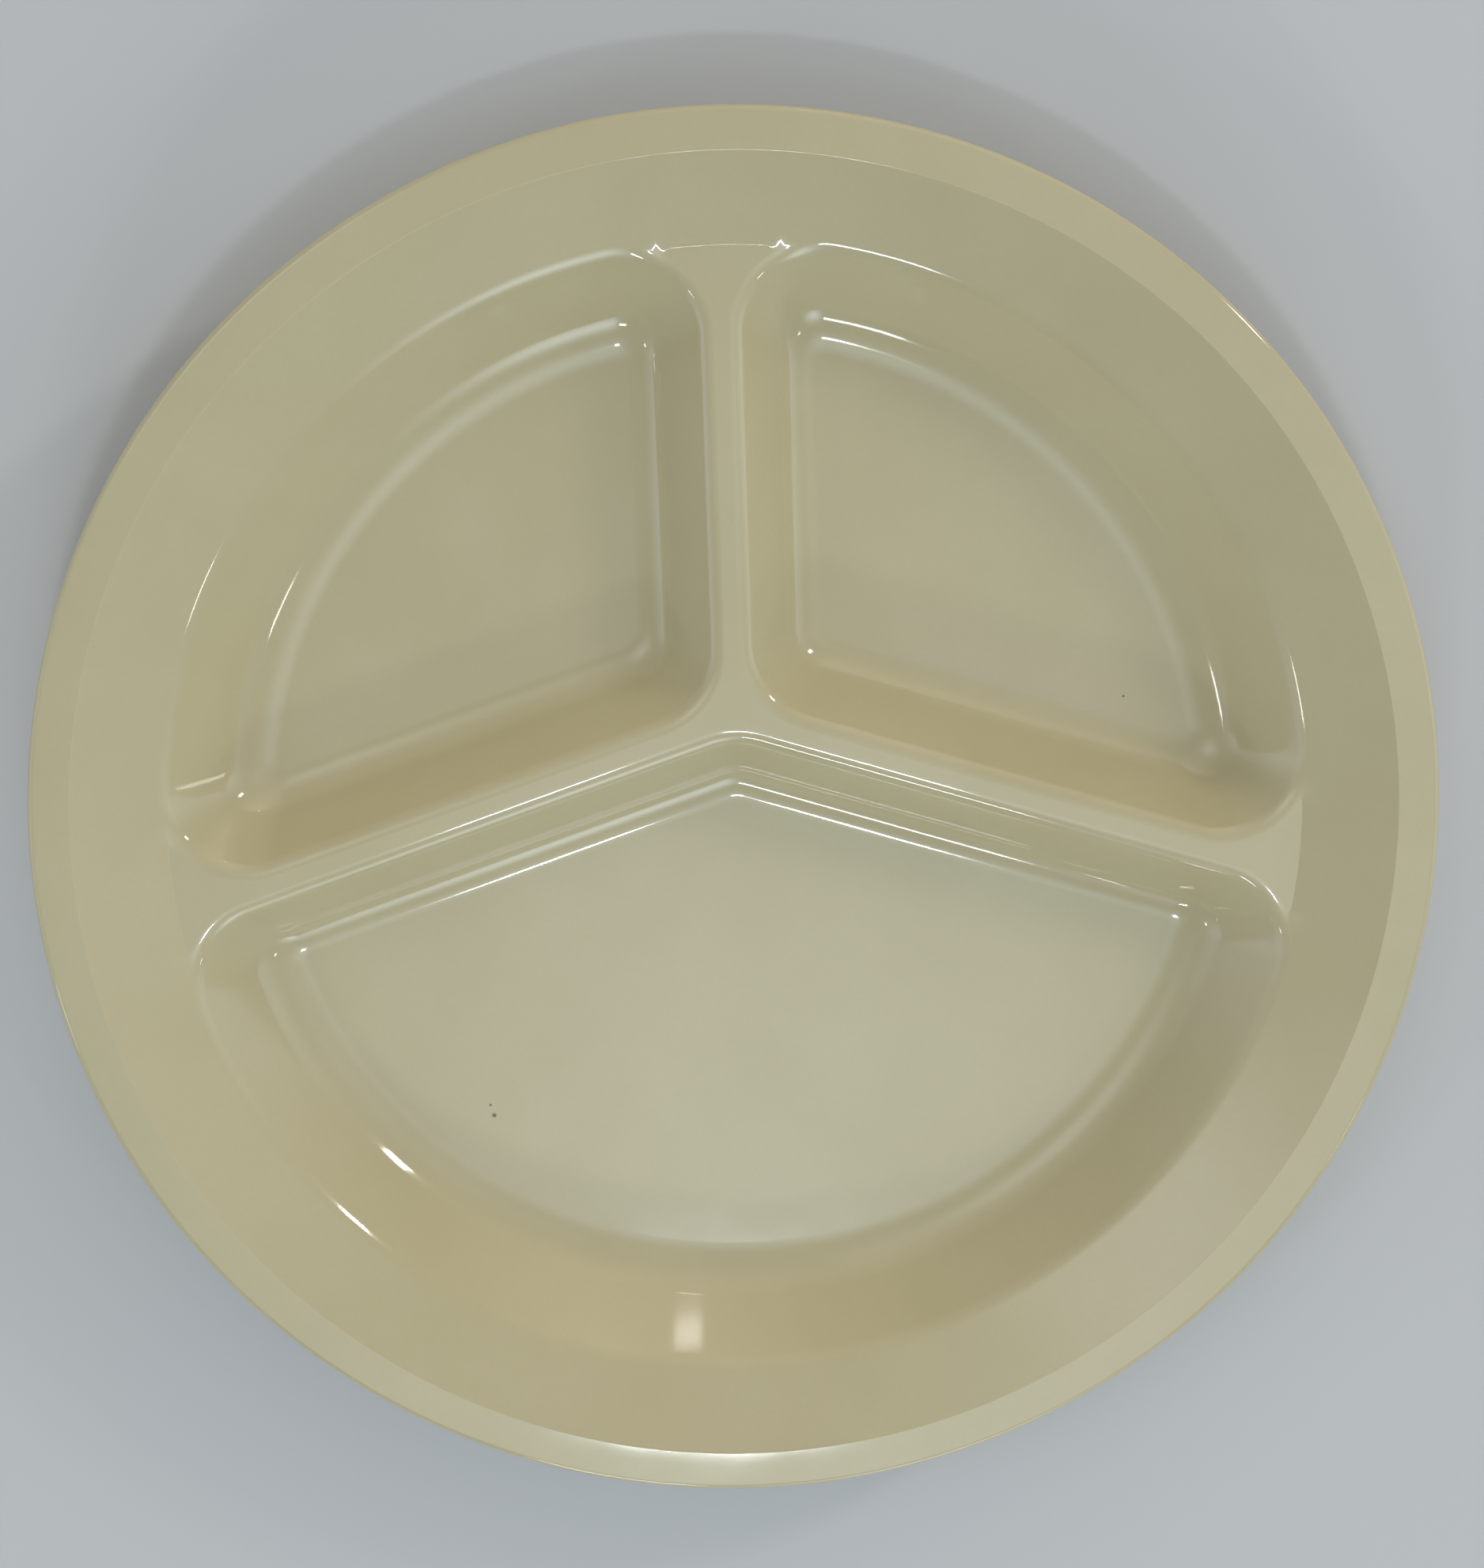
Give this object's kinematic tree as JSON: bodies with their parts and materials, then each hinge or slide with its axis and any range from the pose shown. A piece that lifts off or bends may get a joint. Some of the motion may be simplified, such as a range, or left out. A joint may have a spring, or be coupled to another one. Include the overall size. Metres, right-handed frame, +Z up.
{
  "type": "divided plate",
  "caption": "Round glossy moulded plate with a flat lip, a sloping ring and drafted food wells parted by a raised Y-shaped divider.",
  "frame": {"origin": "on the table under the middle of the round plate", "axes": "+Z up out of the wells, -Y towards the large well, +Y along the divider between the small wells"},
  "size_m": [0.254, 0.254, 0.027],
  "materials": {
    "melamine": "smooth glossy moulding, pale olive cream, lightly scuffed"
  },
  "bodies": {
    "root": {"plate": "melamine"}
  },
  "joints": []
}
